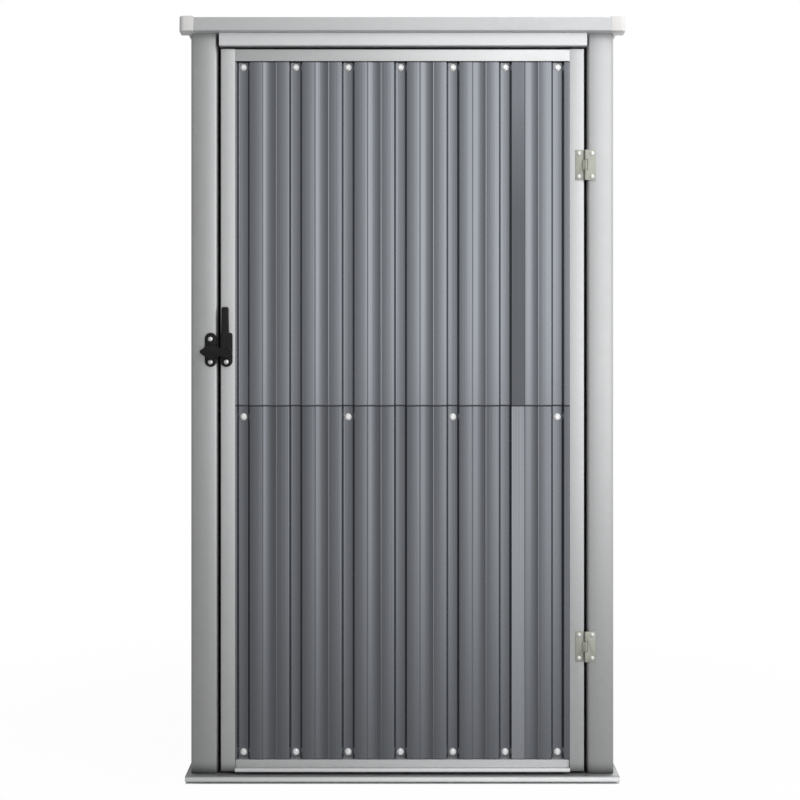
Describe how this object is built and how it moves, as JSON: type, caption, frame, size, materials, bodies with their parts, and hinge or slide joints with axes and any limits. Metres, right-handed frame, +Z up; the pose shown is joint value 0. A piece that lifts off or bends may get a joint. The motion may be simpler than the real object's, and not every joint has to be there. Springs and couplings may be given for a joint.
{
  "type": "metal storage shed",
  "caption": "Small free-standing steel tool shed with profiled sheet walls, a galvanised frame, a pent roof with corner caps and a hinged front door with a lever latch.",
  "frame": {"origin": "middle of the ground plan, on the ground", "axes": "+Z up, the door faces -Y, the hinges are on the +X side"},
  "size_m": [0.924, 0.9454, 1.5898],
  "materials": {
    "painted_sheet": "satin grey coil-coated steel sheet",
    "galvanised_steel": "dull galvanised folded steel",
    "cap_plastic": "light grey moulded plastic",
    "hinge_steel": "dull zinc-plated steel",
    "latch_black": "black moulded plastic"
  },
  "bodies": {
    "shed": {"back_left_post": "galvanised_steel", "back_mid_rail": "galvanised_steel", "back_right_post": "galvanised_steel", "back_wall_lower_sheet": "painted_sheet", "back_wall_upper_sheet": "painted_sheet", "base_back_rail": "galvanised_steel", "base_front_rail": "galvanised_steel", "base_left_rail": "galvanised_steel", "base_right_rail": "galvanised_steel", "door_header": "galvanised_steel", "front_left_post": "galvanised_steel", "front_right_post": "galvanised_steel", "latch_keeper": "latch_black", "left_mid_rail": "galvanised_steel", "left_wall_lower_sheet": "painted_sheet", "left_wall_upper_sheet": "painted_sheet", "lower_hinge_post_leaf": "hinge_steel", "right_mid_rail": "galvanised_steel", "right_wall_lower_sheet": "painted_sheet", "right_wall_upper_sheet": "painted_sheet", "roof_back_fascia": "galvanised_steel", "roof_back_left_cap": "cap_plastic", "roof_back_right_cap": "cap_plastic", "roof_front_fascia": "galvanised_steel", "roof_front_left_cap": "cap_plastic", "roof_front_right_cap": "cap_plastic", "roof_left_trim": "galvanised_steel", "roof_purlin": "galvanised_steel", "roof_right_trim": "galvanised_steel", "roof_sheet": "painted_sheet", "top_back_rail": "galvanised_steel", "top_left_rail": "galvanised_steel", "top_right_rail": "galvanised_steel", "upper_hinge_post_leaf": "hinge_steel"},
    "door": {"door_bottom_rail": "galvanised_steel", "door_left_stile": "galvanised_steel", "door_lower_sheet": "painted_sheet", "door_mid_rail": "galvanised_steel", "door_right_stile": "galvanised_steel", "door_top_rail": "galvanised_steel", "door_upper_sheet": "painted_sheet", "lower_hinge_door_leaf": "hinge_steel", "upper_hinge_door_leaf": "hinge_steel", "latch_base": "latch_black"},
    "latch_lever": {"latch_lever": "latch_black"}
  },
  "joints": [
    {"name": "door_hinge", "type": "hinge", "parent": "shed", "child": "door", "pos_m": [0.38125, -0.45334, 0.781], "axis": [0, 0, 1], "range_deg": [0, 175]},
    {"name": "latch_turn", "type": "hinge", "parent": "door", "child": "latch_lever", "pos_m": [-0.366, -0.45734, 0.8936], "axis": [0, 1, 0], "range_deg": [0, 90]}
  ]
}
